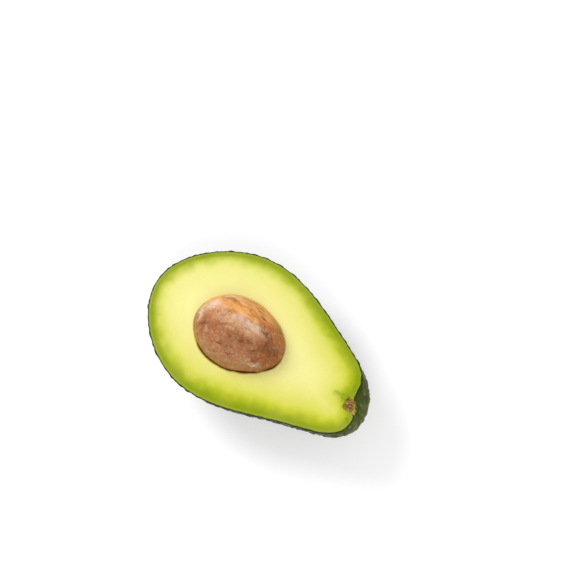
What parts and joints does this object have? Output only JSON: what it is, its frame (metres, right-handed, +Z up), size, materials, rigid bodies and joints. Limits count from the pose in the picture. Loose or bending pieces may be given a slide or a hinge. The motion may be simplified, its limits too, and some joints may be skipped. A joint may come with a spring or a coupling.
{
  "type": "halved avocado",
  "caption": "Half of a ripe avocado cut lengthwise, with pebbled dark skin, a flat cut face, its seed in the hollow and a cut stem stub.",
  "frame": {"origin": "middle of the small flat spot on the rounded back that the half rests on", "axes": "+X along the fruit towards the stem end, +Z up, square to the level cut face, +Y across the cut face"},
  "size_m": [0.1025, 0.0648, 0.0452],
  "materials": {
    "skin": "dark green pebbled rind with a waxy gloss",
    "flesh": "moist, buttery yellow, turning green at the rind",
    "seed": "brown papery coat, satin, streaked and blotched",
    "stem": "dry, fibrous, matt"
  },
  "bodies": {
    "root": {"skin": "skin", "flesh": "flesh", "seed": "seed", "stem_stub": "stem"}
  },
  "joints": []
}
